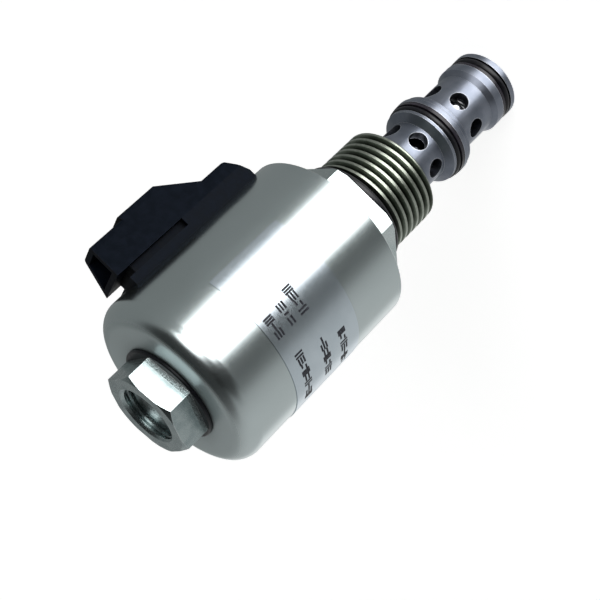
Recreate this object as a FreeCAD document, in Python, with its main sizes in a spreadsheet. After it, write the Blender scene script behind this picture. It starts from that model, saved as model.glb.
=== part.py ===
import FreeCAD, Part
import math
import os
import Sketcher

# A solenoid-operated cartridge valve: a screw-in hydraulic cartridge (hex adapter, ported cage, spool)
# whose magnet tube carries a removable coil, held down by a nut.
# Millimetres. The origin is on the valve's axis, in the face of the hex that seats on the manifold.
# +Z points to the coil and its nut, -Z into the cavity to the nose, and +X to the electrical connector.

INCH = 25.4
DOC = FreeCAD.newDocument("CartridgeValve")
SHEET = "Dimensions"
PARTS_FOLDER = "parts"
CHAMFER_ANGLE = math.radians(30)


# ---------------------------------------------------------------- dimensions

def valve_dimensions():
    """Driving dimensions first, then the radii and levels that follow from them."""
    d = {}

    # adapter: 1 in hex and 7/8-14 UNF thread
    d["hex_flats"] = 1.0 * INCH
    d["hex_top"] = 6.4
    d["adapter_thread_r"] = 0.875 * INCH / 2
    d["adapter_pitch"] = INCH / 14
    d["adapter_end"] = -14.9
    d["undercut_r"] = 9.75
    d["undercut_end"] = -2.6
    d["socket_r"] = 7.5
    d["socket_top"] = -5.0
    d["passage_r"] = 4.0
    d["tube_seat"] = 1.4

    # cage: two rows of cross ports between three sealing diameters
    d["cage_bore_r"] = 4.75
    d["neck_r"] = 7.0
    d["middle_rim_r"] = 8.9
    d["step_r"] = 9.05
    d["middle_land_r"] = 9.46
    d["nose_land_r"] = 0.625 * INCH / 2
    d["middle_top"] = -24.0
    d["middle_cone"] = 1.1
    d["middle_rim"] = 0.65
    d["middle_groove_width"] = 2.25
    d["middle_groove_r"] = 7.9
    d["middle_lower_rim"] = 1.4
    d["step_length"] = 1.2
    d["nose_cone_top"] = -41.0
    d["nose_land_top"] = -42.2
    d["nose_groove_top"] = -44.2
    d["nose_groove_width"] = 2.8
    d["nose_groove_r"] = 6.3
    d["nose_end"] = -48.6
    d["port_r"] = 2.1
    d["upper_ports"] = -21.2
    d["lower_ports"] = -35.5
    d["port_angle"] = 6.5

    # spool and its spring
    d["stroke"] = 3.2
    d["spool_r"] = 4.72
    d["spool_stem_r"] = 3.2
    d["spool_drill_r"] = 1.2
    d["spool_top"] = -9.5
    d["upper_land_end"] = -15.5
    d["lower_land_start"] = -32.4
    d["spool_end"] = -36.4
    d["spring_recess_r"] = 3.75
    d["spring_top"] = -33.9
    d["spring_end"] = -46.6
    d["spring_wire_r"] = 0.42
    d["spring_coil_r"] = 3.15
    d["seat_thickness"] = 0.8
    d["seat_r"] = 4.65
    d["seat_hole_r"] = 2.2
    d["ring_groove_r"] = 5.3
    d["ring_thickness"] = 0.7

    # magnet tube
    d["tube_r"] = 7.93
    d["tube_bore_r"] = 6.9
    d["pole_top"] = 26.0
    d["rod_bore_r"] = 2.4
    d["bush_length"] = 6.0
    d["bush_bore_r"] = 1.66
    d["rod_r"] = 1.6
    d["rod_insert"] = 3.0
    d["shim_thickness"] = 0.2
    d["armature_r"] = 6.83
    d["armature_top"] = 44.7
    d["armature_vent_r"] = 0.9
    d["armature_vent_place"] = 4.4
    d["stub_bottom"] = 45.0
    d["tube_top"] = 49.0
    d["stub_shoulder"] = 50.0
    d["stub_neck_r"] = 5.1
    d["stub_neck_top"] = 50.9
    d["stub_thread_r"] = 5.88
    d["stub_top"] = 56.1
    d["nut_pitch"] = INCH / 20

    # coil
    d["can_r"] = 19.1
    d["can_wall"] = 2.0
    d["can_bottom"] = 6.6
    d["can_top"] = 52.0
    d["can_end_thickness"] = 3.2
    d["can_corner"] = 3.8
    d["coil_bore_r"] = 8.0
    d["washer_thickness"] = 3.0
    d["bobbin_core_r"] = 9.2
    d["bobbin_flange_r"] = 15.6
    d["bobbin_flange"] = 1.5
    d["winding_r"] = 15.2
    d["window_half_width"] = 5.2
    d["window_bottom"] = 12.5
    d["window_top"] = 25.5
    d["label_bottom"] = 20.2
    d["label_top"] = 38.4
    d["label_thickness"] = 0.12
    d["label_sweep"] = 150.0
    d["label_start"] = 145.0

    # connector, moulded on the coil
    d["connector_half_width"] = 6.4
    d["connector_crown_half_width"] = 2.7
    d["foot_top"] = 19.8
    d["web_half_width"] = 5.2
    d["shroud_bottom"] = 21.6
    d["shroud_top"] = 29.4
    d["rib_top"] = 30.4
    d["block_top"] = 24.6
    d["block_end"] = 10.4
    d["block_shoulder"] = 12.7
    d["taper_start"] = 18.7
    d["taper_end"] = 25.7
    d["web_start"] = 28.0
    d["rib_end"] = 35.5
    d["foot_end"] = 43.8
    d["mouth"] = 45.2
    d["mouth_crown"] = 44.0
    d["cavity_floor"] = 29.6
    d["shroud_wall"] = 1.3
    d["blade_thickness"] = 0.8
    d["blade_width"] = 2.0
    d["blade_place"] = 2.1
    d["blade_axis"] = 25.5
    d["blade_tail"] = 16.0
    d["blade_bend"] = 23.6
    d["blade_tip"] = 40.4

    # coil nut
    d["nut_flats"] = 17.4
    d["nut_seal_r"] = 10.5
    d["nut_seal_thickness"] = 0.75
    d["nut_top"] = 58.5
    d["nut_bore_r"] = 5.95
    d["nut_angle"] = 12.6

    # seals
    d["port_seal_section_r"] = 1.15
    d["middle_seal_section_r"] = 0.69
    d["nose_seal_section_r"] = 0.81
    d["coil_seal_section_r"] = 0.7
    d["backup_width"] = 0.85

    # what follows from the above
    d["hex_corner_r"] = d["hex_flats"] / math.sqrt(3)
    d["nut_corner_r"] = d["nut_flats"] / math.sqrt(3)
    d["middle_cone_end"] = d["middle_top"] - d["middle_cone"]
    d["middle_groove_top"] = d["middle_cone_end"] - d["middle_rim"]
    d["middle_groove_end"] = d["middle_groove_top"] - d["middle_groove_width"]
    d["middle_land_end"] = d["middle_groove_end"] - d["middle_lower_rim"]
    d["middle_end"] = d["middle_land_end"] - d["step_length"]
    d["nose_groove_end"] = d["nose_groove_top"] - d["nose_groove_width"]
    d["seat_end"] = d["spring_end"] - d["seat_thickness"]
    d["ring_end"] = d["seat_end"] - d["ring_thickness"]
    d["armature_bottom"] = d["pole_top"] + d["shim_thickness"] + d["stroke"] + 0.1
    d["rod_top"] = d["armature_bottom"] + d["rod_insert"]
    d["can_bore_r"] = d["can_r"] - d["can_wall"]
    d["can_ceiling"] = d["can_top"] - d["can_end_thickness"]
    d["washer_top"] = d["can_bottom"] + d["washer_thickness"]
    d["bobbin_lower_flange"] = d["washer_top"] + d["bobbin_flange"]
    d["bobbin_upper_flange"] = d["can_ceiling"] - d["bobbin_flange"]
    d["label_r"] = d["can_r"] + d["label_thickness"]
    d["nut_bottom"] = d["can_top"] + d["nut_seal_thickness"]
    return d


SIZE = valve_dimensions()


def fill_sheet():
    """One row per dimension: its name, and its number under an alias."""
    sheet = DOC.addObject("Spreadsheet::Sheet", SHEET)
    for row, (name, number) in enumerate(SIZE.items(), start=1):
        sheet.set(f"A{row}", name)
        sheet.set(f"B{row}", f"{number:.4f}")
        sheet.setAlias(f"B{row}", name)
    DOC.recompute()


# ---------------------------------------------------------------- helpers

SUB_PARTS = []


def cell(name):
    return f"{SHEET}.{name}"


def number(entry):
    """A coordinate is the name of a cell, or (name, offset) for a place beside it, or a plain number."""
    if isinstance(entry, str):
        return SIZE[entry]
    if isinstance(entry, tuple):
        return SIZE[entry[0]] + entry[1]
    return entry


def expression(entry):
    if isinstance(entry, str):
        return cell(entry)
    if isinstance(entry, tuple):
        return f"{cell(entry[0])} + ({entry[1]})"
    return None


def new_body(label, turn=0.0):
    """A body in the valve's frame, turned about the valve's axis by so many degrees."""
    body = DOC.addObject("PartDesign::Body", label)
    body.Label = label
    axis = FreeCAD.Vector(0, 0, 1)
    body.Placement = FreeCAD.Placement(FreeCAD.Vector(0, 0, 0), FreeCAD.Rotation(axis, turn))
    SUB_PARTS.append(body)
    return body


def origin_plane(body, role):
    for feature in body.Origin.OriginFeatures:
        if feature.Role == role:
            return feature
    raise RuntimeError(f"{body.Label} has no {role}")


def new_sketch(body, name, role="XZ_Plane", offset=0.0):
    sketch = body.newObject("Sketcher::SketchObject", name)
    sketch.AttachmentSupport = [(origin_plane(body, role), "")]
    sketch.MapMode = "FlatFace"
    sketch.AttachmentOffset = FreeCAD.Placement(FreeCAD.Vector(0, 0, offset), FreeCAD.Rotation())
    return sketch


def bind(sketch, index, entry):
    bound = expression(entry)
    if bound:
        sketch.setExpression(f"Constraints[{index}]", bound)


def pin_point(sketch, geometry, vertex, across, up):
    """Hold one vertex at its two coordinates from the sketch's origin."""
    for kind, entry in (("DistanceX", across), ("DistanceY", up)):
        rule = Sketcher.Constraint(kind, -1, 1, geometry, vertex, number(entry))
        bind(sketch, sketch.addConstraint(rule), entry)


def draw_outline(sketch, corners):
    """A closed outline of straight edges through the corners, each an (across, up) pair."""
    first = sketch.GeometryCount
    points = [FreeCAD.Vector(number(across), number(up), 0) for across, up in corners]
    count = len(points)
    for i in range(count):
        sketch.addGeometry(Part.LineSegment(points[i], points[(i + 1) % count]), False)
    for i in range(count):
        following = first + (i + 1) % count
        sketch.addConstraint(Sketcher.Constraint("Coincident", first + i, 2, following, 1))
    for i, (across, up) in enumerate(corners):
        pin_point(sketch, first + i, 1, across, up)


def draw_circle(sketch, across, up, radius):
    centre = FreeCAD.Vector(number(across), number(up), 0)
    normal = FreeCAD.Vector(0, 0, 1)
    circle = sketch.addGeometry(Part.Circle(centre, normal, number(radius)), False)
    pin_point(sketch, circle, 3, across, up)
    rule = Sketcher.Constraint("Radius", circle, number(radius))
    bind(sketch, sketch.addConstraint(rule), radius)


def draw_hexagon(sketch, corner_radius):
    """A hexagon about the sketch's origin with two of its flats facing up and down."""
    radius = number(corner_radius)
    points = []
    for i in range(6):
        angle = math.radians(60 * i)
        points.append(FreeCAD.Vector(radius * math.cos(angle), radius * math.sin(angle), 0))
    for i in range(6):
        sketch.addGeometry(Part.LineSegment(points[i], points[(i + 1) % 6]), False)
    origin = FreeCAD.Vector(0, 0, 0)
    circle = sketch.addGeometry(Part.Circle(origin, FreeCAD.Vector(0, 0, 1), radius), True)
    sketch.addConstraint(Sketcher.Constraint("Coincident", circle, 3, -1, 1))
    for i in range(6):
        sketch.addConstraint(Sketcher.Constraint("Coincident", i, 2, (i + 1) % 6, 1))
        sketch.addConstraint(Sketcher.Constraint("PointOnObject", i, 1, circle))
    for i in range(5):
        sketch.addConstraint(Sketcher.Constraint("Equal", i, i + 1))
    sketch.addConstraint(Sketcher.Constraint("PointOnObject", 0, 1, -1))
    bind(sketch, sketch.addConstraint(Sketcher.Constraint("Radius", circle, radius)), corner_radius)


def revolve(body, name, corners, kind="PartDesign::Revolution", angle=None):
    """Turn a half-section about the valve's axis: a Revolution adds it and a Groove cuts it."""
    sketch = new_sketch(body, name + "Section")
    draw_outline(sketch, corners)
    feature = body.newObject(kind, name)
    feature.Profile = sketch
    feature.ReferenceAxis = (sketch, ["V_Axis"])
    feature.Angle = 360.0
    if angle:
        feature.setExpression("Angle", cell(angle))
    sketch.Visibility = False
    return feature


def turned(label, corners, turn=0.0, angle=None):
    body = new_body(label, turn)
    revolve(body, label + "Turn", corners, angle=angle)
    return body


def pad(body, name, sketch, length, both_ways=False):
    feature = body.newObject("PartDesign::Pad", name)
    feature.Profile = sketch
    feature.Length = number(length)
    if both_ways:
        feature.SideType = "Symmetric"
    bound = expression(length)
    if bound:
        feature.setExpression("Length", bound)
    return feature


def pocket(body, name, sketch, length, both_ways=False):
    """Cut the sketch out of the body, and make sure that it took material away."""
    DOC.recompute()
    before = body.Shape.Volume
    feature = body.newObject("PartDesign::Pocket", name)
    feature.Profile = sketch
    feature.Length = number(length)
    if both_ways:
        feature.SideType = "Symmetric"
    bound = expression(length)
    if bound:
        feature.setExpression("Length", bound)
    DOC.recompute()
    if body.Shape.Volume >= before:
        raise RuntimeError(f"{name} cuts nothing from {body.Label}")
    return feature


def polar_pattern(body, name, features, count, spread):
    feature = body.newObject("PartDesign::PolarPattern", name)
    feature.Originals = features
    feature.Axis = (origin_plane(body, "Z_Axis"), [""])
    feature.Angle = spread
    feature.Occurrences = count
    body.Tip = feature
    return feature


def helical_cut(body, name, corners, pitch, rise):
    """Cut a thread: the V-shaped section climbs the valve's axis from where it is drawn."""
    DOC.recompute()
    before = body.Shape.Volume
    sketch = new_sketch(body, name + "Section")
    draw_outline(sketch, corners)
    feature = body.newObject("PartDesign::SubtractiveHelix", name)
    feature.Profile = sketch
    feature.ReferenceAxis = (sketch, ["V_Axis"])
    feature.Mode = 0
    feature.Pitch = SIZE[pitch]
    feature.setExpression("Pitch", cell(pitch))
    feature.Height = rise
    feature.Angle = 0
    feature.LeftHanded = False
    sketch.Visibility = False
    DOC.recompute()
    if body.Shape.Volume >= before:
        raise RuntimeError(f"{name} cuts nothing from {body.Label}")
    return feature


def o_ring(label, centre_r, section_r, level):
    """A torus about the valve's axis; its ring radius and level are given, its section is a cell."""
    ring = DOC.addObject("Part::Torus", label)
    ring.Label = label
    ring.Radius1 = centre_r
    ring.setExpression("Radius2", cell(section_r))
    ring.Placement = FreeCAD.Placement(FreeCAD.Vector(0, 0, level), FreeCAD.Rotation())
    SUB_PARTS.append(ring)
    return ring


def edges_where(body, test):
    """Names of the body's edges whose middle point passes the test."""
    names = []
    for index, edge in enumerate(body.Shape.Edges, start=1):
        middle = edge.valueAt((edge.FirstParameter + edge.LastParameter) / 2)
        if test(edge, middle):
            names.append(f"Edge{index}")
    return names


def round_edges(body, name, names, radius):
    """Fillet the named edges of the body's last feature."""
    base = body.Tip
    feature = body.newObject("PartDesign::Fillet", name)
    feature.Base = (base, names)
    feature.Radius = radius
    return feature


def is_circle(edge, radius):
    curve = edge.Curve
    return isinstance(curve, Part.Circle) and abs(curve.Radius - radius) < 0.01


# ---------------------------------------------------------------- the cartridge

def make_adapter():
    """Hex, 7/8-14 thread, O-ring undercut, the cage's socket below and the tube's seat above."""
    core_r = 12.0
    end_chamfer = 0.45
    body = turned("adapter_body", [
        ("passage_r", "tube_seat"),
        ("passage_r", "socket_top"),
        ("socket_r", "socket_top"),
        ("socket_r", "adapter_end"),
        (("adapter_thread_r", -end_chamfer), "adapter_end"),
        ("adapter_thread_r", ("adapter_end", end_chamfer)),
        ("adapter_thread_r", ("undercut_end", -0.5)),
        ("undercut_r", "undercut_end"),
        ("undercut_r", 0.0),
        (core_r, 0.0),
        (core_r, "hex_top"),
        ("tube_r", "hex_top"),
        ("tube_r", "tube_seat"),
    ])
    sketch = new_sketch(body, "HexSection", "XY_Plane")
    draw_hexagon(sketch, "hex_corner_r")
    draw_circle(sketch, 0.0, 0.0, ("tube_r", 1.0))
    pad(body, "Hex", sketch, "hex_top")
    chamfer_run = 0.95
    outside = 1.0
    fall = math.tan(CHAMFER_ANGLE) * (chamfer_run + outside)
    corner = ("hex_corner_r", -chamfer_run)
    beyond = ("hex_corner_r", outside)
    revolve(body, "UpperHexChamfer", [
        (corner, "hex_top"),
        (beyond, "hex_top"),
        (beyond, ("hex_top", -fall)),
    ], "PartDesign::Groove")
    revolve(body, "LowerHexChamfer", [(corner, 0.0), (beyond, 0.0), (beyond, fall)], "PartDesign::Groove")
    thread_depth = 1.0
    half_width = 0.72
    root = ("adapter_thread_r", -thread_depth)
    crest = ("adapter_thread_r", 0.2)
    start_level = SIZE["adapter_end"] - SIZE["adapter_pitch"]
    rise = SIZE["undercut_end"] + 0.3 - start_level
    helical_cut(body, "Thread", [
        (root, start_level - 0.1),
        (crest, start_level - half_width),
        (crest, start_level + half_width),
        (root, start_level + 0.1),
    ], "adapter_pitch", rise)


def make_cage():
    """The ported sleeve: neck, stepped middle land with its groove, neck, cone and nose land."""
    body = turned("cage", [
        ("cage_bore_r", "socket_top"),
        ("socket_r", "socket_top"),
        ("socket_r", "adapter_end"),
        ("neck_r", "adapter_end"),
        ("neck_r", "middle_top"),
        ("middle_rim_r", "middle_cone_end"),
        ("middle_rim_r", "middle_groove_top"),
        ("middle_groove_r", "middle_groove_top"),
        ("middle_groove_r", "middle_groove_end"),
        ("middle_land_r", "middle_groove_end"),
        ("middle_land_r", ("middle_land_end", 0.3)),
        (("middle_land_r", -0.3), "middle_land_end"),
        ("step_r", "middle_land_end"),
        ("step_r", ("middle_end", 0.3)),
        (("step_r", -0.3), "middle_end"),
        ("neck_r", "middle_end"),
        ("neck_r", "nose_cone_top"),
        ("nose_land_r", "nose_land_top"),
        ("nose_land_r", "nose_groove_top"),
        ("nose_groove_r", "nose_groove_top"),
        ("nose_groove_r", "nose_groove_end"),
        ("nose_land_r", "nose_groove_end"),
        ("nose_land_r", ("nose_end", 0.35)),
        (("nose_land_r", -0.35), "nose_end"),
        (("cage_bore_r", 0.25), "nose_end"),
        ("cage_bore_r", ("nose_end", 0.25)),
        ("cage_bore_r", "ring_end"),
        ("ring_groove_r", "ring_end"),
        ("ring_groove_r", "seat_end"),
        ("cage_bore_r", "seat_end"),
    ], turn=SIZE["port_angle"])
    through = 4 * SIZE["neck_r"]
    for row in ("upper_ports", "lower_ports"):
        sketch = new_sketch(body, row + "_circle")
        draw_circle(sketch, 0.0, row, "port_r")
        cut = pocket(body, row + "_cut", sketch, through, both_ways=True)
        polar_pattern(body, row + "_row", [cut], 3, 120.0)
        DOC.recompute()


def make_seals():
    """The O-rings and back-up rings of the three sealing places."""
    section = SIZE["port_seal_section_r"]
    o_ring("port_seal", SIZE["undercut_r"] + section, "port_seal_section_r", -section - 0.02)

    section = SIZE["middle_seal_section_r"]
    level = SIZE["middle_groove_top"] - section - 0.01
    o_ring("middle_seal", SIZE["middle_groove_r"] + section, "middle_seal_section_r", level)
    backup_top = SIZE["middle_groove_end"] + SIZE["backup_width"]
    make_backup_ring("middle_backup_ring", "middle_groove_r", "middle_land_r", backup_top)

    section = SIZE["nose_seal_section_r"]
    level = SIZE["nose_groove_end"] + section + 0.01
    o_ring("nose_seal", SIZE["nose_groove_r"] + section, "nose_seal_section_r", level)
    make_backup_ring("nose_backup_ring", "nose_groove_r", "nose_land_r", SIZE["nose_groove_top"])


def make_backup_ring(label, inner, outer, top):
    """A flat ring, cut through at one place so that it springs over the land."""
    bottom = top - SIZE["backup_width"]
    body = turned(label, [(inner, bottom), ((outer, -0.06), bottom), ((outer, -0.06), top), (inner, top)])
    slit = 0.12
    sketch = new_sketch(body, label + "_slit")
    draw_outline(sketch, [
        ((inner, -0.5), bottom - 0.5),
        ((outer, 0.5), bottom - 0.5),
        ((outer, 0.5), top + 0.5),
        ((inner, -0.5), top + 0.5),
    ])
    pocket(body, label + "_cut", sketch, slit, both_ways=True)


def make_spool():
    """Two lands on a slim stem, drilled through, with balance grooves and a slotted top."""
    groove_depth = 0.3
    groove_width = 0.45
    corners = [("spool_drill_r", "spool_top"), (("spool_r", -0.3), "spool_top")]
    corners.append(("spool_r", ("spool_top", -0.3)))
    for fall in (1.6, 3.0, 4.4):
        corners.append(("spool_r", ("spool_top", -fall)))
        corners.append((("spool_r", -groove_depth), ("spool_top", -fall)))
        corners.append((("spool_r", -groove_depth), ("spool_top", -fall - groove_width)))
        corners.append(("spool_r", ("spool_top", -fall - groove_width)))
    corners += [
        ("spool_r", "upper_land_end"),
        ("spool_stem_r", "upper_land_end"),
        ("spool_stem_r", "lower_land_start"),
        ("spool_r", "lower_land_start"),
        ("spool_r", ("spool_end", 0.3)),
        (("spool_r", -0.3), "spool_end"),
        ("spring_recess_r", "spool_end"),
        ("spring_recess_r", "spring_top"),
        ("spool_drill_r", "spring_top"),
    ]
    body = turned("spool", corners)
    sketch = new_sketch(body, "OilSlotSection")
    half_slot = 0.6
    draw_outline(sketch, [
        (-half_slot, ("spool_top", -1.0)),
        (half_slot, ("spool_top", -1.0)),
        (half_slot, ("spool_top", 1.0)),
        (-half_slot, ("spool_top", 1.0)),
    ])
    pocket(body, "OilSlot", sketch, 4 * SIZE["spool_r"], both_ways=True)


def make_return_spring():
    """A compression spring between the spool's recess and the seat, with its end turns closed."""
    wire = SIZE["spring_wire_r"]
    coil = SIZE["spring_coil_r"]
    low = SIZE["spring_end"] + wire
    high = SIZE["spring_top"] - wire
    closed = 2 * wire + 0.04
    active_turns = 4.0
    active_pitch = (high - low - 2 * closed) / active_turns
    levels = [(low, closed, closed), (low + closed, active_pitch, high - low - 2 * closed)]
    levels.append((high - closed, closed, closed))
    edges = []
    for level, pitch, rise in levels:
        helix = Part.makeHelix(pitch, rise, coil)
        helix.translate(FreeCAD.Vector(0, 0, level))
        edges += helix.Edges
    path = Part.Wire(edges)
    start = FreeCAD.Vector(coil, 0, low)
    section = Part.Wire([Part.makeCircle(wire, start, FreeCAD.Vector(0, 1, 0))])
    spring = DOC.addObject("Part::Feature", "return_spring")
    spring.Label = "return_spring"
    spring.Shape = path.makePipeShell([section], True, True)
    spring.Placement = FreeCAD.Placement()
    SUB_PARTS.append(spring)


def make_nose_end():
    """The drilled disc that carries the spring, and the snap ring that keeps it in the cage."""
    turned("spring_seat", [
        ("seat_hole_r", "seat_end"),
        ("seat_r", "seat_end"),
        ("seat_r", "spring_end"),
        ("seat_hole_r", "spring_end"),
    ])
    bottom = SIZE["ring_end"] + 0.02
    top = SIZE["seat_end"] - 0.02
    body = turned("retaining_ring", [
        (("ring_groove_r", -1.25), bottom),
        (("ring_groove_r", -0.05), bottom),
        (("ring_groove_r", -0.05), top),
        (("ring_groove_r", -1.25), top),
    ], turn=-60.0)
    mouth = new_sketch(body, "RingMouthSection")
    half_gap = 1.3
    draw_outline(mouth, [
        (-half_gap, bottom - 1.0),
        (half_gap, bottom - 1.0),
        (half_gap, top + 1.0),
        (-half_gap, top + 1.0),
    ])
    pocket(body, "RingMouth", mouth, 8.0)
    lug_r = 1.0
    eye_r = 0.45
    lug_place = 2.0
    plan = new_sketch(body, "LugPlan", "XY_Plane", bottom)
    for side in (-1, 1):
        draw_circle(plan, side * lug_place, lug_place + 1.15, lug_r)
    pad(body, "Lugs", plan, top - bottom)
    eyes = new_sketch(body, "EyePlan", "XY_Plane", top + 0.5)
    for side in (-1, 1):
        draw_circle(eyes, side * lug_place, lug_place + 1.15, eye_r)
    pocket(body, "Eyes", eyes, 2.0)


# ---------------------------------------------------------------- the magnet tube

def make_magnet_tube():
    """Pole piece, thin tube and threaded stub, one column on the adapter, with the rod's bush."""
    turned("pole_piece", [
        ("rod_bore_r", "tube_seat"),
        ("tube_bore_r", "tube_seat"),
        ("tube_bore_r", "pole_top"),
        ("rod_bore_r", "pole_top"),
    ])
    turned("rod_bush", [
        ("bush_bore_r", "tube_seat"),
        ("rod_bore_r", "tube_seat"),
        ("rod_bore_r", ("tube_seat", SIZE["bush_length"])),
        ("bush_bore_r", ("tube_seat", SIZE["bush_length"])),
    ])
    turned("guide_tube", [
        ("tube_bore_r", "tube_seat"),
        ("tube_r", "tube_seat"),
        ("tube_r", "tube_top"),
        ("tube_bore_r", "tube_top"),
    ])
    turned("anti_stick_shim", [
        (("rod_bore_r", 0.2), "pole_top"),
        (("armature_r", -0.6), "pole_top"),
        (("armature_r", -0.6), ("pole_top", SIZE["shim_thickness"])),
        (("rod_bore_r", 0.2), ("pole_top", SIZE["shim_thickness"])),
    ])
    stub = turned("tube_stub", [
        (0.0, "stub_bottom"),
        ("tube_bore_r", "stub_bottom"),
        ("tube_bore_r", "tube_top"),
        ("tube_r", "tube_top"),
        ("tube_r", ("stub_shoulder", -0.3)),
        (("tube_r", -0.3), "stub_shoulder"),
        ("stub_neck_r", "stub_shoulder"),
        ("stub_neck_r", "stub_neck_top"),
        ("stub_thread_r", ("stub_neck_top", 0.5)),
        ("stub_thread_r", ("stub_top", -0.6)),
        (("stub_thread_r", -0.6), "stub_top"),
        (0.0, "stub_top"),
    ])
    start = SIZE["stub_neck_top"] - 0.4
    helical_cut(stub, "StubThread", [
        (("stub_thread_r", -0.62), start - 0.08),
        (("stub_thread_r", 0.15), start - 0.5),
        (("stub_thread_r", 0.15), start + 0.5),
        (("stub_thread_r", -0.62), start + 0.08),
    ], "nut_pitch", SIZE["stub_top"] - start + 0.8)


def make_armature():
    """The plunger with its two oil vents, and the rod that pushes the spool."""
    body = turned("armature", [
        (0.0, "rod_top"),
        ("rod_r", "rod_top"),
        ("rod_r", "armature_bottom"),
        (("armature_r", -0.4), "armature_bottom"),
        ("armature_r", ("armature_bottom", 0.4)),
        ("armature_r", ("armature_top", -0.4)),
        (("armature_r", -0.4), "armature_top"),
        (0.0, "armature_top"),
    ])
    plan = new_sketch(body, "VentPlan", "XY_Plane", SIZE["armature_top"] + 1.0)
    draw_circle(plan, "armature_vent_place", 0.0, "armature_vent_r")
    vent = pocket(body, "Vent", plan, SIZE["armature_top"] - SIZE["armature_bottom"] + 3.0)
    polar_pattern(body, "Vents", [vent], 2, 360.0)
    turned("push_rod", [
        (0.0, "spool_top"),
        (("rod_r", -0.3), "spool_top"),
        ("rod_r", ("spool_top", 0.3)),
        ("rod_r", "rod_top"),
        (0.0, "rod_top"),
    ])


# ---------------------------------------------------------------- the coil

def make_coil_can():
    """The drawn steel can, closed at the nut's end, with a window for the connector's neck."""
    body = turned("coil_can", [
        ("can_bore_r", "can_bottom"),
        (("can_r", -0.25), "can_bottom"),
        ("can_r", ("can_bottom", 0.25)),
        ("can_r", "can_top"),
        ("coil_bore_r", "can_top"),
        ("coil_bore_r", "can_ceiling"),
        ("can_bore_r", "can_ceiling"),
    ])
    DOC.recompute()
    top = SIZE["can_top"]

    def on_rim(edge, middle):
        return is_circle(edge, SIZE["can_r"]) and abs(middle.z - top) < 0.01

    rim = edges_where(body, on_rim)
    fillet = round_edges(body, "CanCorner", rim, SIZE["can_corner"])
    fillet.setExpression("Radius", cell("can_corner"))
    DOC.recompute()
    sketch = new_sketch(body, "WindowSection", "YZ_Plane")
    half = SIZE["window_half_width"]
    draw_outline(sketch, [
        (-half, "window_bottom"),
        ("window_half_width", "window_bottom"),
        ("window_half_width", "window_top"),
        (-half, "window_top"),
    ])
    window = pocket(body, "Window", sketch, 2 * SIZE["can_r"])
    DOC.recompute()
    if body.Shape.CenterOfGravity.x > 0:
        window.Reversed = True
    DOC.recompute()


def make_coil_inside():
    """End washer, bobbin and winding."""
    turned("end_washer", [
        (("coil_bore_r", 2.2), "can_bottom"),
        ("can_bore_r", "can_bottom"),
        ("can_bore_r", "washer_top"),
        ("coil_bore_r", "washer_top"),
        ("coil_bore_r", ("can_bottom", 1.6)),
        (("coil_bore_r", 2.2), ("can_bottom", 1.6)),
    ])
    section = SIZE["coil_seal_section_r"]
    centre_r = SIZE["coil_bore_r"] + 0.4 + section
    o_ring("coil_seal", centre_r, "coil_seal_section_r", SIZE["can_bottom"] + section)
    turned("bobbin", [
        ("coil_bore_r", "washer_top"),
        ("bobbin_flange_r", "washer_top"),
        ("bobbin_flange_r", "bobbin_lower_flange"),
        ("bobbin_core_r", "bobbin_lower_flange"),
        ("bobbin_core_r", "bobbin_upper_flange"),
        ("bobbin_flange_r", "bobbin_upper_flange"),
        ("bobbin_flange_r", "can_ceiling"),
        ("coil_bore_r", "can_ceiling"),
    ])
    turned("winding", [
        ("bobbin_core_r", "bobbin_lower_flange"),
        ("winding_r", "bobbin_lower_flange"),
        ("winding_r", "bobbin_upper_flange"),
        ("bobbin_core_r", "bobbin_upper_flange"),
    ])


def blade_outline():
    """Side view of one contact blade: a tail out of the coil, a bend, and the blade to its tip."""
    half = SIZE["blade_thickness"] / 2
    return [
        ("blade_tail", ("blade_bend", -half)),
        (("blade_axis", half), ("blade_bend", -half)),
        (("blade_axis", half), ("blade_tip", -0.5)),
        (("blade_axis", half - 0.2), "blade_tip"),
        (("blade_axis", 0.2 - half), "blade_tip"),
        (("blade_axis", -half), ("blade_tip", -0.5)),
        (("blade_axis", -half), ("blade_bend", half)),
        ("blade_tail", ("blade_bend", half)),
    ]


def make_terminals():
    for name, side in (("terminal_1", -1), ("terminal_2", 1)):
        body = new_body(name)
        sketch = new_sketch(body, name + "_side", "XZ_Plane", -side * SIZE["blade_place"])
        draw_outline(sketch, blade_outline())
        pad(body, name + "_blade", sketch, "blade_width", both_ways=True)


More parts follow.
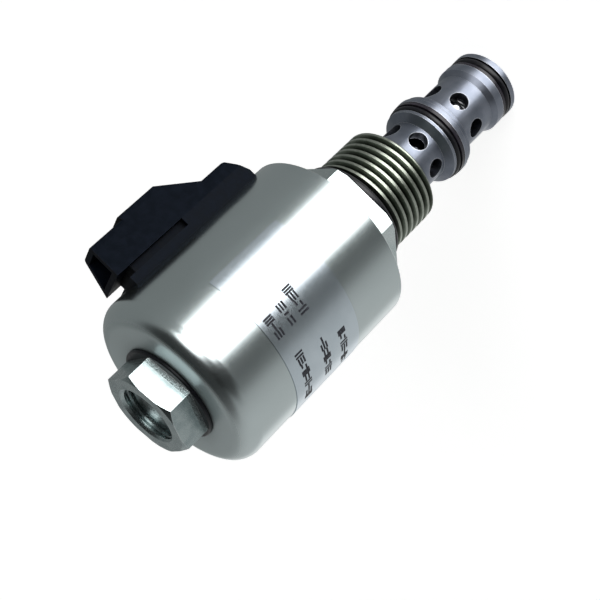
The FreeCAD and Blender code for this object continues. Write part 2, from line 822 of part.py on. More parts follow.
def make_connector():
    """Resin jacket round the winding and the shrouded plug connector, moulded as one piece."""
    body = new_body("connector_moulding")
    half = SIZE["connector_half_width"]
    side = new_sketch(body, "ConnectorSide")
    draw_outline(side, [
        (("can_r", -2.6), "block_end"),
        (("can_r", 0.6), "block_end"),
        (("block_top", -2.4), ("block_shoulder", -1.2)),
        (("block_top", -0.3), "block_shoulder"),
        ("block_top", ("block_shoulder", 0.5)),
        ("block_top", "taper_start"),
        ("rib_top", "taper_end"),
        ("rib_top", "rib_end"),
        ("shroud_top", "rib_end"),
        ("shroud_top", "mouth_crown"),
        ("shroud_bottom", "mouth"),
        ("shroud_bottom", "web_start"),
        ("foot_top", "web_start"),
        ("foot_top", "foot_end"),
        (("can_r", -2.6), "foot_end"),
    ])
    pad(body, "ConnectorBlock", side, 2 * half, both_ways=True)
    draft = new_sketch(body, "DraftPlan", "XY_Plane", SIZE["mouth"] + 1.0)
    crown = SIZE["connector_crown_half_width"]
    for sign in (-1, 1):
        draw_outline(draft, [
            ("shroud_bottom", sign * half),
            (("rib_top", 1.0), sign * crown),
            (("rib_top", 1.0), sign * (half + 1.0)),
            ("shroud_bottom", sign * (half + 1.0)),
        ])
    pocket(body, "Draft", draft, SIZE["mouth"])
    DOC.recompute()
    crown_round = 1.0
    round_edges(body, "CrownRound", edges_where(body, is_crown_edge), crown_round)
    DOC.recompute()
    seat = new_sketch(body, "CanSeatPlan", "XY_Plane", SIZE["mouth"] + 1.0)
    draw_circle(seat, 0.0, 0.0, ("can_r", 0.01))
    pocket(body, "CanSeat", seat, SIZE["mouth"])
    web = new_sketch(body, "WebPlan", "XY_Plane", SIZE["web_start"] - 0.5)
    web_half = SIZE["web_half_width"]
    draw_outline(web, [
        (("foot_top", -0.4), -web_half),
        (("shroud_bottom", 0.4), -web_half),
        (("shroud_bottom", 0.4), web_half),
        (("foot_top", -0.4), web_half),
    ])
    pad(body, "Web", web, SIZE["foot_end"] - SIZE["web_start"] - 1.5)
    neck_clearance = 0.05
    neck_half = SIZE["window_half_width"] - neck_clearance
    neck_bottom = SIZE["window_bottom"] + neck_clearance
    neck = new_sketch(body, "NeckPlan", "XY_Plane", neck_bottom)
    draw_outline(neck, [
        (("can_bore_r", -1.1), -neck_half),
        (("can_r", 1.2), -neck_half),
        (("can_r", 1.2), neck_half),
        (("can_bore_r", -1.1), neck_half),
    ])
    pad(body, "Neck", neck, SIZE["window_top"] - neck_clearance - neck_bottom)
    revolve(body, "Jacket", [
        ("bobbin_flange_r", "washer_top"),
        ("can_bore_r", "washer_top"),
        ("can_bore_r", "can_ceiling"),
        ("bobbin_flange_r", "can_ceiling"),
        ("bobbin_flange_r", "bobbin_upper_flange"),
        ("winding_r", "bobbin_upper_flange"),
        ("winding_r", "bobbin_lower_flange"),
        ("bobbin_flange_r", "bobbin_lower_flange"),
    ])
    wall = SIZE["shroud_wall"]
    slope = (half - crown) / (SIZE["rib_top"] + 1.0 - SIZE["shroud_bottom"])
    floor_half = half - wall - slope * wall
    roof_half = half - wall - slope * (SIZE["shroud_top"] - wall - SIZE["shroud_bottom"])
    cavity = new_sketch(body, "CavityPlan", "XY_Plane", SIZE["mouth"] + 1.0)
    draw_outline(cavity, [
        (("shroud_bottom", wall), -floor_half),
        (("shroud_top", -wall), -roof_half),
        (("shroud_top", -wall), roof_half),
        (("shroud_bottom", wall), floor_half),
    ])
    pocket(body, "Cavity", cavity, SIZE["mouth"] + 1.0 - SIZE["cavity_floor"])
    for name, sign in (("BladeSlot1", -1), ("BladeSlot2", 1)):
        slot = new_sketch(body, name + "Side", "XZ_Plane", -sign * SIZE["blade_place"])
        draw_outline(slot, blade_outline())
        pocket(body, name, slot, "blade_width", both_ways=True)


def is_crown_edge(edge, middle):
    """The long edges along the top of the connector, on both sides."""
    ends = [vertex.Point for vertex in edge.Vertexes]
    if len(ends) != 2:
        return False
    run = ends[1] - ends[0]
    climbs = abs(run.z) > 3.0
    on_top = middle.x > SIZE["block_top"] - 0.2
    return climbs and on_top and abs(middle.y) > SIZE["connector_crown_half_width"]


def make_label():
    """A thin metal label wrapped part of the way round the can."""
    turned("label_plate", [
        ("can_r", "label_bottom"),
        ("label_r", "label_bottom"),
        ("label_r", "label_top"),
        ("can_r", "label_top"),
    ], turn=SIZE["label_start"], angle="label_sweep")


# ---------------------------------------------------------------- the nut

def make_coil_nut():
    """A hex nut threaded 1/2-20, on a flat sealing ring."""
    turned("nut_seal", [
        (("coil_bore_r", 0.3), "can_top"),
        (("nut_seal_r", -0.2), "can_top"),
        ("nut_seal_r", ("can_top", 0.2)),
        ("nut_seal_r", ("nut_bottom", -0.2)),
        (("nut_seal_r", -0.2), "nut_bottom"),
        (("coil_bore_r", 0.3), "nut_bottom"),
    ])
    core = ("nut_bore_r", 1.8)
    bore_chamfer = 0.55
    body = turned("coil_nut", [
        (("nut_bore_r", bore_chamfer), "nut_bottom"),
        (core, "nut_bottom"),
        (core, "nut_top"),
        (("nut_bore_r", bore_chamfer), "nut_top"),
        ("nut_bore_r", ("nut_top", -bore_chamfer)),
        ("nut_bore_r", ("nut_bottom", bore_chamfer)),
    ], turn=SIZE["nut_angle"])
    sketch = new_sketch(body, "NutHexSection", "XY_Plane", SIZE["nut_bottom"])
    draw_hexagon(sketch, "nut_corner_r")
    draw_circle(sketch, 0.0, 0.0, ("nut_bore_r", 1.2))
    pad(body, "NutHex", sketch, SIZE["nut_top"] - SIZE["nut_bottom"])
    chamfer_run = 1.15
    outside = 1.0
    fall = math.tan(CHAMFER_ANGLE) * (chamfer_run + outside)
    revolve(body, "NutChamfer", [
        (("nut_corner_r", -chamfer_run), "nut_top"),
        (("nut_corner_r", outside), "nut_top"),
        (("nut_corner_r", outside), ("nut_top", -fall)),
    ], "PartDesign::Groove")
    start = SIZE["nut_bottom"] - 0.6
    helical_cut(body, "NutThread", [
        (("nut_bore_r", -0.1), start - 0.5),
        (("nut_bore_r", 0.5), start - 0.1),
        (("nut_bore_r", 0.5), start + 0.1),
        (("nut_bore_r", -0.1), start + 0.5),
    ], "nut_pitch", SIZE["nut_top"] - start + 0.6)


# ---------------------------------------------------------------- build, check and write

def check_document():
    """Stop on any failed object, and on any sub-part whose shape is missing or unsound."""
    for thing in DOC.Objects:
        if "Invalid" in thing.State or "Error" in thing.State:
            raise RuntimeError(f"{thing.Label} failed: {thing.State}")
    for part in SUB_PARTS:
        shape = part.Shape
        if shape.isNull() or not shape.isValid() or len(shape.Solids) < 1:
            raise RuntimeError(f"{part.Label} has no sound solid")


def write_steps():
    os.makedirs(PARTS_FOLDER, exist_ok=True)
    for part in SUB_PARTS:
        part.Shape.exportStep(os.path.join(PARTS_FOLDER, part.Label + ".step"))
        print(f"{part.Label:20s} {part.Shape.Volume:10.1f} mm3  solids {len(part.Shape.Solids)}")


fill_sheet()
make_adapter()
make_cage()
make_seals()
make_spool()
make_return_spring()
make_nose_end()
make_magnet_tube()
make_armature()
make_coil_can()
make_coil_inside()
make_connector()
make_terminals()
make_label()
make_coil_nut()
DOC.recompute()
check_document()
write_steps()
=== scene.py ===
"""Looks of the solenoid cartridge valve: finishes, printed marks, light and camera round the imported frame."""
import math

import bmesh
import bpy
from mathutils import Matrix, Vector


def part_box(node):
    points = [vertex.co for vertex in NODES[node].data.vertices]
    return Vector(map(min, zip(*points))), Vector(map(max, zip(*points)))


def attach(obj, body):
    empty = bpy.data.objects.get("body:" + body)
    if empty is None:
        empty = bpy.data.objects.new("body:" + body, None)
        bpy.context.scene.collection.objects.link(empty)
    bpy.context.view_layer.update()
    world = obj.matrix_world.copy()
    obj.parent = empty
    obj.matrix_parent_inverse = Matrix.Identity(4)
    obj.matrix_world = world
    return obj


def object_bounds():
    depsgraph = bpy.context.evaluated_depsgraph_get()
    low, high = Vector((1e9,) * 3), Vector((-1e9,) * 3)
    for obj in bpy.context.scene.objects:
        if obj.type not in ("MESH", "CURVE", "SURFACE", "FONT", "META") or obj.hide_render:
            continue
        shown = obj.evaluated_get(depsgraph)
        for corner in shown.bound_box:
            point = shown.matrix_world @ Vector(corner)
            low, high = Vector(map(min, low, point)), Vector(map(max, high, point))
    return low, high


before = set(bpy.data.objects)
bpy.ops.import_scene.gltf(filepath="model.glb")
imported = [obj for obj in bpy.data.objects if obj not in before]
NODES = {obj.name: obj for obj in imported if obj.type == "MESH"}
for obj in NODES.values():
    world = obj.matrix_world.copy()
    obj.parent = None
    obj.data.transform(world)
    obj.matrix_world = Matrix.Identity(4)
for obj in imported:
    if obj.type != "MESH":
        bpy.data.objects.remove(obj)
CAD_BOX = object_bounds()
SCENE = bpy.context.scene
MM = 0.001


# ---------------------------------------------------------------- camera

CAMERA_AZIMUTH = -1.78
CAMERA_ELEVATION = 25.96
CAMERA_ROLL = 134.97
CAMERA_DISTANCE = 256.46 * MM
CAMERA_TARGET = Vector((-4.87, 0.15, 19.84)) * MM
CAMERA_LENS = 79.12
SENSOR_WIDTH = 36.0


def make_camera():
    azimuth = math.radians(CAMERA_AZIMUTH)
    elevation = math.radians(CAMERA_ELEVATION)
    roll = math.radians(CAMERA_ROLL)
    back = Vector((
        math.sin(azimuth) * math.cos(elevation),
        -math.cos(azimuth) * math.cos(elevation),
        math.sin(elevation),
    ))
    level_right = Vector((math.cos(azimuth), math.sin(azimuth), 0.0))
    level_up = back.cross(level_right)
    up = math.cos(roll) * level_up + math.sin(roll) * level_right
    right = up.cross(back)
    data = bpy.data.cameras.new("camera")
    data.lens = CAMERA_LENS
    data.sensor_width = SENSOR_WIDTH
    data.clip_start = 10 * MM
    data.clip_end = 20.0
    camera = bpy.data.objects.new("camera", data)
    turn = Matrix((right, up, back)).transposed().to_4x4()
    camera.matrix_world = Matrix.Translation(CAMERA_TARGET + CAMERA_DISTANCE * back) @ turn
    SCENE.collection.objects.link(camera)
    SCENE.camera = camera


# ---------------------------------------------------------------- light and floor

def towards(azimuth, elevation):
    """The direction at an azimuth from +X and an elevation above the horizon, in degrees."""
    a = math.radians(azimuth)
    e = math.radians(elevation)
    return (math.cos(a) * math.cos(e), math.sin(a) * math.cos(e), math.sin(e))


# Round soft boxes: azimuth, elevation, half angle, softness, strength.
SOFT_BOXES = (
    (-79, -32, 26, 2.5, 3.4),
    (-78, -2, 22, 3, 3.2),
    (-70, 30, 18, 5, 2.6),
    (104, -26, 20, 12, 0.42),
    (150, -5, 40, 40, 0.32),
    (88, 38, 7, 4, 0.36),
    (0, -90, 30, 16, 0.5),
)
# Dark cards: azimuth, elevation, half angle, softness, share of the fill light that they take away.
DARK_CARDS = (
    (-112, 20, 38, 8, 0.9),
    (-95, 84, 44, 10, 0.85),
    (-130, -22, 20, 6, 0.5),
)
FILL_LIGHT = (0.235, 0.247, 0.247)


def make_world():
    """A studio of soft boxes and dark cards, as a pattern of direction."""
    world = bpy.data.worlds.new("studio")
    world.use_nodes = True
    tree = world.node_tree
    background = tree.nodes["Background"]
    direction = tree.nodes.new("ShaderNodeTexCoord").outputs["Generated"]

    def disc(azimuth, elevation, half_angle, softness):
        along = tree.nodes.new("ShaderNodeVectorMath")
        along.operation = "DOT_PRODUCT"
        tree.links.new(direction, along.inputs[0])
        along.inputs[1].default_value = towards(azimuth, elevation)
        edge = tree.nodes.new("ShaderNodeMapRange")
        edge.interpolation_type = "SMOOTHSTEP"
        tree.links.new(along.outputs["Value"], edge.inputs["Value"])
        edge.inputs["From Min"].default_value = math.cos(math.radians(half_angle + softness))
        edge.inputs["From Max"].default_value = math.cos(math.radians(max(half_angle - softness, 0)))
        return edge.outputs["Result"]

    def blend(kind, factor, below, above):
        node = tree.nodes.new("ShaderNodeMix")
        node.data_type = "RGBA"
        node.blend_type = kind
        tree.links.new(factor, node.inputs["Factor"])
        tree.links.new(below, node.inputs[6])
        node.inputs[7].default_value = (above, above, above, 1.0)
        return node.outputs[2]

    fill = tree.nodes.new("ShaderNodeRGB")
    fill.outputs[0].default_value = (*FILL_LIGHT, 1.0)
    light = fill.outputs[0]
    for azimuth, elevation, half_angle, softness, share in DARK_CARDS:
        light = blend("MULTIPLY", disc(azimuth, elevation, half_angle, softness), light, 1.0 - share)
    for azimuth, elevation, half_angle, softness, strength in SOFT_BOXES:
        light = blend("ADD", disc(azimuth, elevation, half_angle, softness), light, strength)
    tree.links.new(light, background.inputs["Color"])
    SCENE.world = world


FLOOR_RADIUS = 1.6
FLOOR_FLAT = 0.6 * FLOOR_RADIUS
FLOOR_BEND = FLOOR_RADIUS - FLOOR_FLAT
BEND_STEPS = 12
FLOOR_SEGMENTS = 96
FLOOR_GAP = 0.2 * MM


def make_floor():
    """A pale studio sweep: a flat disc that curves up into a wall, lit evenly."""
    level = CAD_BOX[0].z - FLOOR_GAP
    mesh = bmesh.new()
    profile = [(0.0, 0.0), (FLOOR_FLAT, 0.0)]
    for step in range(1, BEND_STEPS + 1):
        angle = math.radians(90 * step / BEND_STEPS)
        profile.append((FLOOR_FLAT + FLOOR_BEND * math.sin(angle), FLOOR_BEND * (1 - math.cos(angle))))
    profile.append((FLOOR_RADIUS, 2 * FLOOR_RADIUS))
    rings = []
    for radius, height in profile:
        ring = []
        for k in range(FLOOR_SEGMENTS):
            turn = 2 * math.pi * k / FLOOR_SEGMENTS
            place = (radius * math.cos(turn), radius * math.sin(turn), level + height)
            if radius > 0 or not ring:
                ring.append(mesh.verts.new(place))
        rings.append(ring)
    for k in range(FLOOR_SEGMENTS):
        after = (k + 1) % FLOOR_SEGMENTS
        mesh.faces.new((rings[0][0], rings[1][k], rings[1][after]))
        for low, high in zip(rings[1:], rings[2:]):
            mesh.faces.new((low[k], high[k], high[after], low[after]))
    for face in mesh.faces:
        face.smooth = True
    data = bpy.data.meshes.new("floor")
    mesh.to_mesh(data)
    mesh.free()
    floor = bpy.data.objects.new("floor", data)
    SCENE.collection.objects.link(floor)
    material = bpy.data.materials.new("floor_paper")
    material.use_nodes = True
    shader = material.node_tree.nodes["Principled BSDF"]
    shader.inputs["Base Color"].default_value = (0.62, 0.62, 0.62, 1.0)
    shader.inputs["Roughness"].default_value = 1.0
    shader.inputs["Specular IOR Level"].default_value = 0.0
    shader.inputs["Emission Color"].default_value = (1.0, 1.0, 0.995, 1.0)
    shader.inputs["Emission Strength"].default_value = 0.82
    data.materials.append(material)
    floor.visible_glossy = False
    floor.visible_diffuse = False
    floor.visible_shadow = False
    floor.visible_transmission = False


# ---------------------------------------------------------------- finishes

EDGE_SAMPLES = 6
# How far a lathe's ring wanders along the axis in one radian of its turn.
RING_WANDER = 0.15 * MM


class Finish:
    """A node material, with the few node patterns that the finishes share. Sizes are in millimetres."""

    def __init__(self, name):
        self.material = bpy.data.materials.new(name)
        self.material.use_nodes = True
        self.nodes = self.material.node_tree.nodes
        self.links = self.material.node_tree.links
        self.shader = self.nodes["Principled BSDF"]
        self.place = self.nodes.new("ShaderNodeTexCoord").outputs["Object"]
        self.normal = None

    def feed(self, socket, value):
        """A socket takes another node's output or a plain value."""
        if isinstance(value, bpy.types.NodeSocket):
            self.links.new(value, socket)
        else:
            socket.default_value = value

    def set(self, **values):
        for name, value in values.items():
            self.feed(self.shader.inputs[name.replace("_", " ")], value)

    def math(self, operation, first, second=0.0):
        node = self.nodes.new("ShaderNodeMath")
        node.operation = operation
        self.feed(node.inputs[0], first)
        self.feed(node.inputs[1], second)
        return node.outputs[0]

    def step(self, value, low, high, to_low=0.0, to_high=1.0):
        """A smooth step from to_low to to_high as value goes from low to high."""
        node = self.nodes.new("ShaderNodeMapRange")
        node.interpolation_type = "SMOOTHSTEP"
        self.feed(node.inputs["Value"], value)
        node.inputs["From Min"].default_value = low
        node.inputs["From Max"].default_value = high
        node.inputs["To Min"].default_value = to_low
        node.inputs["To Max"].default_value = to_high
        return node.outputs["Result"]

    def mix(self, factor, first, second):
        """The first colour where factor is 0 and the second where it is 1."""
        node = self.nodes.new("ShaderNodeMix")
        node.data_type = "RGBA"
        self.feed(node.inputs["Factor"], factor)
        for socket, value in ((node.inputs[6], first), (node.inputs[7], second)):
            self.feed(socket, value if isinstance(value, bpy.types.NodeSocket) else (*value, 1.0))
        return node.outputs[2]

    def axis_place(self):
        """(radius, angle, height) about the valve's axis: radius and height in metres."""
        apart = self.nodes.new("ShaderNodeSeparateXYZ")
        self.links.new(self.place, apart.inputs[0])
        across, along, height = apart.outputs
        across_square = self.math("MULTIPLY", across, across)
        along_square = self.math("MULTIPLY", along, along)
        radius = self.math("SQRT", self.math("ADD", across_square, along_square))
        return radius, self.math("ARCTAN2", along, across), height

    def grain(self, size, stretch=(1, 1, 1), detail=3.0, roughness=0.55, place=None):
        """Noise whose blotches are about size across, longer by stretch along each axis."""
        mapping = self.nodes.new("ShaderNodeMapping")
        self.links.new(place or self.place, mapping.inputs["Vector"])
        mapping.inputs["Scale"].default_value = [1 / (size * MM * s) for s in stretch]
        noise = self.nodes.new("ShaderNodeTexNoise")
        self.links.new(mapping.outputs["Vector"], noise.inputs["Vector"])
        noise.inputs["Scale"].default_value = 1.0
        noise.inputs["Detail"].default_value = detail
        noise.inputs["Roughness"].default_value = roughness
        return noise.outputs["Fac"]

    def turning(self, pitch):
        """Fine rings left by a lathe: they follow the height on a wall and the radius on an end face."""
        radius, angle, height = self.axis_place()
        joined = self.nodes.new("ShaderNodeCombineXYZ")
        self.links.new(radius, joined.inputs[0])
        self.links.new(self.math("MULTIPLY", angle, RING_WANDER), joined.inputs[1])
        self.links.new(height, joined.inputs[2])
        return self.grain(pitch, detail=2, place=joined.outputs[0])

    def bump(self, height, distance):
        """Raises the surface by distance, in millimetres, where height is 1."""
        node = self.nodes.new("ShaderNodeBump")
        node.inputs["Strength"].default_value = 1.0
        node.inputs["Distance"].default_value = distance * MM
        self.links.new(height, node.inputs["Height"])
        if self.normal:
            self.links.new(self.normal, node.inputs["Normal"])
        self.normal = node.outputs["Normal"]
        self.links.new(self.normal, self.shader.inputs["Normal"])

    def edges(self, radius, start=0.02, full=0.25):
        """1 along the edges, over a band of about radius, and 0 on open faces."""
        rounded = self.nodes.new("ShaderNodeBevel")
        rounded.samples = EDGE_SAMPLES
        rounded.inputs["Radius"].default_value = radius * MM
        flat = self.nodes.new("ShaderNodeNewGeometry").outputs["Normal"]
        along = self.nodes.new("ShaderNodeVectorMath")
        along.operation = "DOT_PRODUCT"
        self.links.new(rounded.outputs[0], along.inputs[0])
        self.links.new(flat, along.inputs[1])
        return self.step(self.math("SUBTRACT", 1.0, along.outputs["Value"]), start, full)

    def hollow_shade(self, distance):
        """An occlusion mask for painted shade: 1 deep in a groove or hole narrower than distance, and 0 in the
        open.
        """
        node = self.nodes.new("ShaderNodeAmbientOcclusion")
        node.samples = EDGE_SAMPLES
        node.inputs["Distance"].default_value = distance * MM
        return self.step(node.outputs["AO"], 0.25, 0.95, 1.0, 0.0)


CAN_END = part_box("coil_can")[1].z
CAN_END_BAND = 0.5 * MM


def zinc_can():
    """Bright zinc over a drawn can: an even satin with a fine sparkle and faint axial marks.

    It is duller on the end face, and painted shade darkens it close to what stands on it.
    """
    f = Finish("zinc_can")
    _, _, height = f.axis_place()
    clouds = f.grain(14.0, (1, 1, 2.2), detail=3)
    tone = f.mix(f.step(clouds, 0.3, 0.7), (0.57, 0.635, 0.635), (0.61, 0.675, 0.68))
    sparkle = f.grain(0.13, detail=1)
    tone = f.mix(f.step(sparkle, 0.4, 0.8, 0.0, 0.15), tone, (0.80, 0.86, 0.88))
    # Painted shade: the colour darkens in hollows, next to the nut and the connector foot.
    tone = f.mix(f.hollow_shade(9.0), tone, (0.16, 0.19, 0.19))
    streaks = f.grain(0.12, (1, 1, 26), detail=2)
    f.set(Base_Color=tone, Metallic=1.0)
    rough = f.math("ADD", f.step(clouds, 0.3, 0.7, 0.19, 0.22), f.step(sparkle, 0.3, 0.8, 0.0, 0.05))
    f.set(Roughness=f.math("ADD", rough, f.step(height, CAN_END - CAN_END_BAND, CAN_END, 0.0, 0.22)))
    f.bump(sparkle, 0.0028)
    f.bump(streaks, 0.0012)
    return f


# The thread ends and the hex begins between these heights; the crests lie outside these radii.
HEX_FOOT = (-0.9 * MM, -0.1 * MM)
CREST_RADII = (10.95 * MM, 11.1 * MM)


def adapter_zinc():
    """One steel adapter: bright zinc on the hex, olive and darker down the thread, bare on its crests."""
    f = Finish("adapter_zinc")
    radius, _, height = f.axis_place()
    on_hex = f.step(height, *HEX_FOOT)
    clouds = f.grain(3.5, detail=4)
    olive = f.mix(f.step(clouds, 0.35, 0.65), (0.15, 0.175, 0.135), (0.27, 0.30, 0.25))
    crest = f.math("MULTIPLY", f.step(radius, *CREST_RADII), f.grain(0.7, detail=3))
    thread = f.mix(crest, olive, (0.52, 0.55, 0.48))
    # Painted shade: the thread's colour goes near black deep in its roots.
    thread = f.mix(f.hollow_shade(1.2), thread, (0.03, 0.035, 0.03))
    bright = f.mix(f.step(clouds, 0.35, 0.65), (0.50, 0.575, 0.57), (0.58, 0.64, 0.635))
    fine = f.grain(0.14, detail=1)
    bright = f.mix(f.edges(0.3), bright, (0.80, 0.84, 0.84))
    f.set(Base_Color=f.mix(on_hex, thread, bright), Metallic=1.0)
    rough = f.step(height, *HEX_FOOT, 0.33, 0.21)
    f.set(Roughness=f.math("ADD", rough, f.step(fine, 0.3, 0.8, 0.0, 0.08)))
    f.bump(fine, 0.004)
    f.bump(f.turning(0.11), 0.003)
    return f


NUT_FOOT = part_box("coil_nut")[0].z
TORN_STRIP = (1.0 * MM, 1.15 * MM)


def nut_zinc():
    """Zinc over a nut cut from bar: mottled faces, turned rings and a torn strip along its foot."""
    f = Finish("nut_zinc")
    _, _, height = f.axis_place()
    clouds = f.grain(2.2, detail=5)
    tone = f.mix(f.step(clouds, 0.35, 0.65), (0.31, 0.37, 0.375), (0.41, 0.47, 0.47))
    strip = f.step(height, NUT_FOOT + TORN_STRIP[0], NUT_FOOT + TORN_STRIP[1], 1.0, 0.0)
    torn = f.math("MULTIPLY", strip, f.step(f.grain(0.22, (1, 1, 2)), 0.4, 0.6))
    tone = f.mix(torn, tone, (0.22, 0.26, 0.26))
    tone = f.mix(f.edges(0.25), tone, (0.78, 0.82, 0.82))
    fine = f.grain(0.18, detail=2)
    f.set(Base_Color=tone, Metallic=1.0)
    f.set(Roughness=f.math("ADD", f.step(torn, 0.0, 1.0, 0.22, 0.42), f.step(fine, 0.3, 0.8, 0.0, 0.08)))
    f.bump(fine, 0.006)
    f.bump(f.turning(0.14), 0.004)
    f.bump(torn, 0.02)
    return f


def cage_steel():
    """Satin dark steel of the ported cage, with bare bright land edges."""
    f = Finish("cage_steel")
    clouds = f.grain(4.0, detail=4)
    tone = f.mix(f.step(clouds, 0.35, 0.65), (0.19, 0.21, 0.255), (0.25, 0.27, 0.32))
    # Painted shade: the colour goes near black in the ports, grooves and the necks beside the lands.
    tone = f.mix(f.hollow_shade(4.5), tone, (0.018, 0.02, 0.026))
    tone = f.mix(f.edges(0.3), tone, (0.74, 0.77, 0.83))
    fine = f.grain(0.12, detail=2)
    f.set(Base_Color=tone, Metallic=0.92)
    f.set(Roughness=f.math("ADD", f.step(clouds, 0.3, 0.7, 0.29, 0.35), f.step(fine, 0.3, 0.8, 0.0, 0.06)))
    f.bump(fine, 0.004)
    f.bump(f.turning(0.09), 0.003)
    return f


def polished_steel():
    """Ground and lapped steel of the spool and push rod."""
    f = Finish("polished_steel")
    rings = f.turning(0.05)
    f.set(Base_Color=f.mix(f.grain(1.5), (0.66, 0.67, 0.70), (0.76, 0.77, 0.79)), Metallic=1.0)
    f.set(Roughness=f.step(rings, 0.3, 0.7, 0.07, 0.14))
    f.bump(rings, 0.0008)
    return f


def turned_iron():
    """Soft iron of the magnet's core and tube end, turned and lightly plated."""
    f = Finish("turned_iron")
    rings = f.turning(0.16)
    tone = f.mix(f.step(f.grain(2.0), 0.35, 0.65), (0.40, 0.44, 0.44), (0.50, 0.54, 0.54))
    f.set(Base_Color=f.mix(f.edges(0.2), tone, (0.75, 0.78, 0.78)), Metallic=1.0)
    f.set(Roughness=f.step(rings, 0.3, 0.7, 0.24, 0.34))
    f.bump(rings, 0.006)
    return f


def drawn_stainless():
    f = Finish("drawn_stainless")
    streaks = f.grain(0.08, (1, 1, 30), detail=2)
    f.set(Base_Color=f.mix(f.grain(3.0), (0.55, 0.56, 0.57), (0.65, 0.66, 0.67)), Metallic=1.0)
    f.set(Roughness=f.step(streaks, 0.3, 0.7, 0.18, 0.30))
    f.bump(streaks, 0.002)
    return f


def drawn_wire():
    f = Finish("drawn_wire")
    fine = f.grain(0.1, detail=2)
    f.set(Base_Color=f.mix(f.grain(1.2), (0.38, 0.39, 0.42), (0.52, 0.53, 0.55)), Metallic=1.0)
    f.set(Roughness=f.step(fine, 0.3, 0.7, 0.24, 0.36))
    f.bump(fine, 0.002)
    return f


def seal_rubber():
    """Moulded nitrile with a film of oil."""
    f = Finish("seal_rubber")
    dust = f.grain(0.5, detail=4)
    tone = f.mix(f.step(dust, 0.5, 0.8, 0.0, 0.5), (0.004, 0.004, 0.006), (0.012, 0.012, 0.016))
    f.set(Base_Color=tone, Specular_IOR_Level=0.30, Coat_Weight=0.10, Coat_Roughness=0.12)
    f.set(Roughness=f.step(dust, 0.3, 0.7, 0.28, 0.42))
    f.bump(f.grain(0.15, detail=2), 0.003)
    return f


def backup_ptfe():
    """Dark filled PTFE, satin, with faint turning rings."""
    f = Finish("backup_ptfe")
    rings = f.turning(0.1)
    f.set(Base_Color=f.mix(f.grain(1.0), (0.010, 0.009, 0.013), (0.020, 0.017, 0.024)))
    f.set(Specular_IOR_Level=0.42)
    f.set(Roughness=f.step(rings, 0.3, 0.7, 0.22, 0.34))
    f.bump(rings, 0.003)
    return f


def sintered_bronze():
    f = Finish("sintered_bronze")
    pores = f.grain(0.12, detail=3)
    tone = f.mix(f.step(pores, 0.3, 0.45), (0.20, 0.12, 0.06), (0.62, 0.44, 0.22))
    f.set(Base_Color=tone, Metallic=1.0, Roughness=f.step(pores, 0.3, 0.6, 0.6, 0.34))
    f.bump(pores, 0.01)
    return f


def bobbin_nylon():
    f = Finish("bobbin_nylon")
    fibres = f.grain(0.3, (1, 1, 5), detail=3)
    f.set(Base_Color=f.mix(fibres, (0.62, 0.58, 0.47), (0.74, 0.71, 0.62)))
    f.set(Roughness=f.step(fibres, 0.3, 0.7, 0.42, 0.55))
    f.bump(fibres, 0.006)
    return f


WIRE_PITCH = 0.5 * MM


def copper_winding():
    """Enamelled wire laid in even turns."""
    f = Finish("copper_winding")
    _, _, height = f.axis_place()
    turn = f.math("MULTIPLY", height, math.pi / WIRE_PITCH)
    bead = f.math("ABSOLUTE", f.math("SINE", turn))
    # Painted shade: the copper's colour darkens in the crevices between turns, where the bump dips.
    tone = f.mix(f.step(bead, 0.0, 0.5), (0.16, 0.05, 0.02), (0.62, 0.25, 0.10))
    f.set(Base_Color=tone, Metallic=0.9, Coat_Weight=0.5, Coat_Roughness=0.1)
    f.set(Roughness=f.step(f.grain(0.6), 0.3, 0.7, 0.22, 0.32))
    f.bump(bead, 0.15)
    return f


def connector_nylon():
    """Black glass-filled nylon with a fine moulded texture, a little lighter along its edges."""
    f = Finish("connector_nylon")
    mottle = f.grain(1.6, detail=5, roughness=0.65)
    tone = f.mix(f.step(mottle, 0.35, 0.68), (0.0022, 0.0038, 0.0068), (0.0040, 0.0060, 0.0105))
    tone = f.mix(f.edges(0.22, 0.01, 0.3), tone, (0.009, 0.012, 0.019))
    # Painted shade: the colour darkens further in recesses.
    tone = f.mix(f.hollow_shade(1.6), tone, (0.0012, 0.0014, 0.002))
    fine = f.grain(0.11, detail=2)
    f.set(Base_Color=tone, Specular_IOR_Level=0.035)
    f.set(Roughness=f.step(mottle, 0.3, 0.7, 0.46, 0.60))
    f.bump(fine, 0.007)
    f.bump(mottle, 0.012)
    return f


def tinned_blade():
    f = Finish("tinned_blade")
    streaks = f.grain(0.08, (1, 1, 20), detail=2)
    f.set(Base_Color=f.mix(f.grain(0.8), (0.62, 0.61, 0.57), (0.75, 0.74, 0.70)), Metallic=1.0)
    f.set(Roughness=f.step(streaks, 0.3, 0.7, 0.16, 0.28))
    f.bump(streaks, 0.002)
    return f


def label_foil():
    """Satin silver foil, brushed round the can."""
    f = Finish("label_foil")
    brushed = f.grain(0.09, (14, 14, 1), detail=2)
    clouds = f.grain(6.0, detail=3)
    f.set(Base_Color=f.mix(f.step(clouds, 0.35, 0.65), (0.61, 0.68, 0.73), (0.65, 0.72, 0.77)))
    f.set(Metallic=1.0, Roughness=f.step(brushed, 0.3, 0.7, 0.21, 0.27))
    f.bump(brushed, 0.0016)
    return f


def print_ink():
    f = Finish("print_ink")
    worn = f.grain(0.25, detail=3)
    f.set(Base_Color=f.mix(f.step(worn, 0.45, 0.75), (0.006, 0.006, 0.010), (0.06, 0.065, 0.08)))
    f.set(Roughness=f.step(worn, 0.3, 0.7, 0.42, 0.6), Specular_IOR_Level=0.3)
    return f


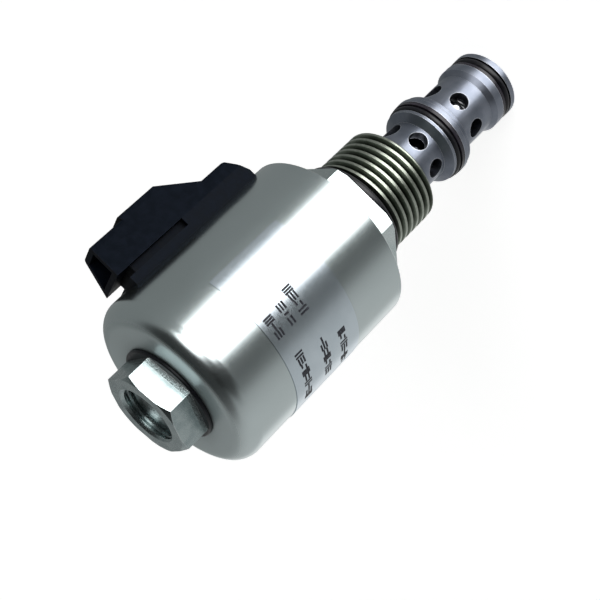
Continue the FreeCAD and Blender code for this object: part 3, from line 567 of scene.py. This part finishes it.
FINISHES = {
    zinc_can: ("coil_can", "end_washer"),
    adapter_zinc: ("adapter_body",),
    nut_zinc: ("coil_nut",),
    cage_steel: ("cage", "spring_seat"),
    polished_steel: ("spool", "push_rod"),
    turned_iron: ("pole_piece", "armature", "tube_stub"),
    drawn_stainless: ("guide_tube",),
    drawn_wire: ("return_spring", "retaining_ring"),
    seal_rubber: ("port_seal", "middle_seal", "nose_seal", "coil_seal", "nut_seal"),
    backup_ptfe: ("middle_backup_ring", "nose_backup_ring"),
    sintered_bronze: ("rod_bush", "anti_stick_shim"),
    bobbin_nylon: ("bobbin",),
    copper_winding: ("winding",),
    connector_nylon: ("connector_moulding",),
    tinned_blade: ("terminal_1", "terminal_2"),
    label_foil: ("label_plate",),
}


def paint_nodes():
    for make, names in FINISHES.items():
        material = make().material
        for name in names:
            NODES[name].data.materials.clear()
            NODES[name].data.materials.append(material)


# ---------------------------------------------------------------- printed marks

LABEL_RADIUS = -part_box("label_plate")[0].y
PRINT_THICKNESS = 0.012 * MM
LINE_WIDTH = 0.42 * MM
LONGEST_FLAT = 0.5 * MM


def print_line(mesh, start, end, width):
    """One printed stroke between two (arc, height) points of the label, curved with it."""
    run = Vector(end) - Vector(start)
    side = Vector((-run.y, run.x)).normalized() * width / 2
    along = run.normalized() * width / 2
    pieces = max(1, math.ceil(abs(run.x) / LONGEST_FLAT))
    rows = []
    for k in range(pieces + 1):
        middle = Vector(start) - along + (run + 2 * along) * k / pieces
        row = []
        for corner in (middle - side, middle + side):
            angle = corner.x / LABEL_RADIUS
            outward = Vector((math.cos(angle), math.sin(angle), 0.0))
            foot = outward * LABEL_RADIUS + Vector((0, 0, corner.y))
            row.append(mesh.verts.new(foot))
            row.append(mesh.verts.new(foot + outward * PRINT_THICKNESS))
        rows.append(row)
    for (a, a_up, b, b_up), (c, c_up, d, d_up) in zip(rows, rows[1:]):
        mesh.faces.new((a_up, b_up, d_up, c_up))
        mesh.faces.new((a, c, d, b))
        mesh.faces.new((a, a_up, c_up, c))
        mesh.faces.new((b, d, d_up, b_up))
    first, last = rows[0], rows[-1]
    mesh.faces.new((first[0], first[2], first[3], first[1]))
    mesh.faces.new((last[0], last[1], last[3], last[2]))


# Plain marks in a cell one unit wide and one unit tall, each a list of strokes: neither letters nor numbers.
SIGNS = {
    "bars": [[(0.1, 0), (0.1, 1)], [(0.5, 0), (0.5, 1)], [(0.9, 0), (0.9, 1)]],
    "stack": [[(0, 0.1), (1, 0.1)], [(0, 0.5), (1, 0.5)], [(0, 0.9), (1, 0.9)]],
    "pair": [[(0, 0.25), (1, 0.25)], [(0, 0.75), (1, 0.75)]],
    "dash": [[(0, 0.5), (1, 0.5)]],
    "steps": [[(0, 0.2), (0.5, 0.2)], [(0.5, 0.8), (1, 0.8)]],
    "rails": [[(0.2, 0), (0.2, 1)], [(0.8, 0), (0.8, 1)]],
    "tick": [[(0.5, 0.3), (0.5, 0.7)]],
}
# Rows of marks: first angle in degrees, height, cell width and height in mm, and the marks.
ROWS = (
    (-113.5, 35.3, 1.25, 1.7, ("stack", "dash", "bars")),
    (-113.0, 31.8, 1.25, 1.7, ("pair", "tick", "stack")),
    (-113.5, 28.6, 1.25, 1.7, ("rails", "steps", "stack", "bars")),
    (-166.0, 34.3, 1.15, 1.6, ("bars", "stack", "dash", "rails", "pair", "bars", "steps", "stack", "rails")),
    (-162.0, 28.6, 1.15, 1.6, ("stack", "rails", "steps", "bars", "pair", "stack", "dash")),
    (-168.0, 23.8, 1.15, 1.6, ("pair", "bars", "dash", "stack", "rails", "steps", "bars")),
)
CELL_GAP = 0.32 * MM


def make_print():
    """The label's printed rows, as plain marks."""
    mesh = bmesh.new()
    for angle, height, width, tall, signs in ROWS:
        arc = math.radians(angle) * LABEL_RADIUS
        for sign in signs:
            for stroke in SIGNS[sign]:
                start, end = [(arc + x * width * MM, (height + y * tall) * MM) for x, y in stroke]
                print_line(mesh, start, end, LINE_WIDTH)
            arc += width * MM + CELL_GAP
    data = bpy.data.meshes.new("label_print")
    mesh.to_mesh(data)
    mesh.free()
    piece = bpy.data.objects.new("label_print", data)
    SCENE.collection.objects.link(piece)
    data.materials.append(print_ink().material)
    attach(piece, "coil")


# ---------------------------------------------------------------- the scene

SCENE.view_settings.view_transform = "Standard"
make_camera()
make_world()
make_floor()
paint_nodes()
make_print()
